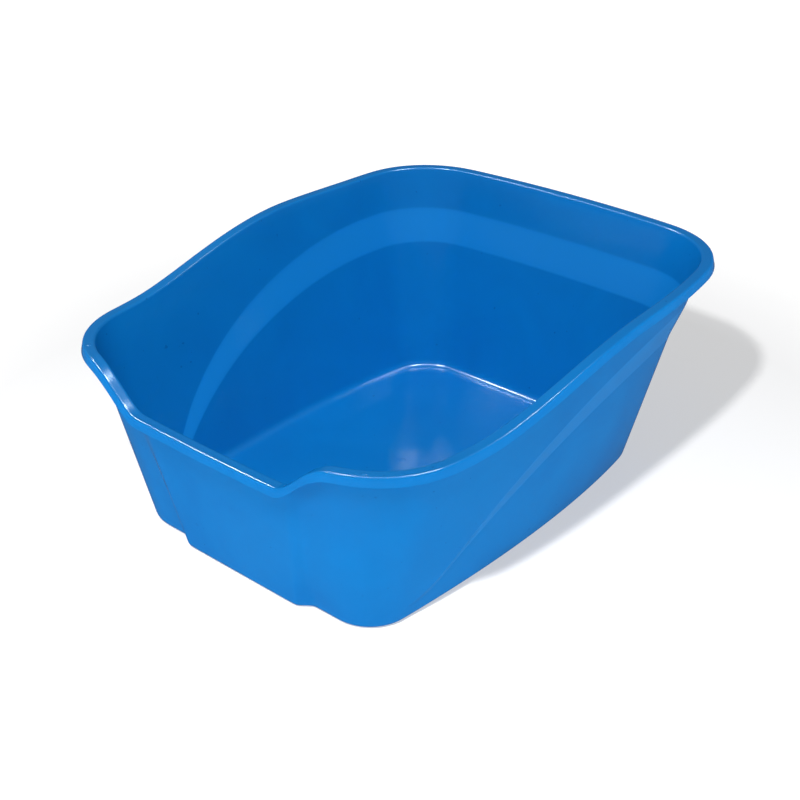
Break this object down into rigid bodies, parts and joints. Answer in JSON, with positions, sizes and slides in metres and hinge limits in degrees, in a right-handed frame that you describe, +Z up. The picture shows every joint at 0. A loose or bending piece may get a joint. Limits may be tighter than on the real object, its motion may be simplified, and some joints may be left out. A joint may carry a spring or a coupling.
{
  "type": "litter pan",
  "caption": "Deep open plastic pan with sloping walls, rolled wave-shaped rim, low front entry, raised back and a swept band round the sides.",
  "frame": {"origin": "on the ground under the middle of the overall length and width", "axes": "+Z up, the low entry faces -Y, length along Y, width along X"},
  "size_m": [0.4576, 0.5482, 0.2255],
  "materials": {
    "blue_plastic": "semi-gloss, moulded"
  },
  "bodies": {
    "root": {"litter_pan": "blue_plastic"}
  },
  "joints": []
}
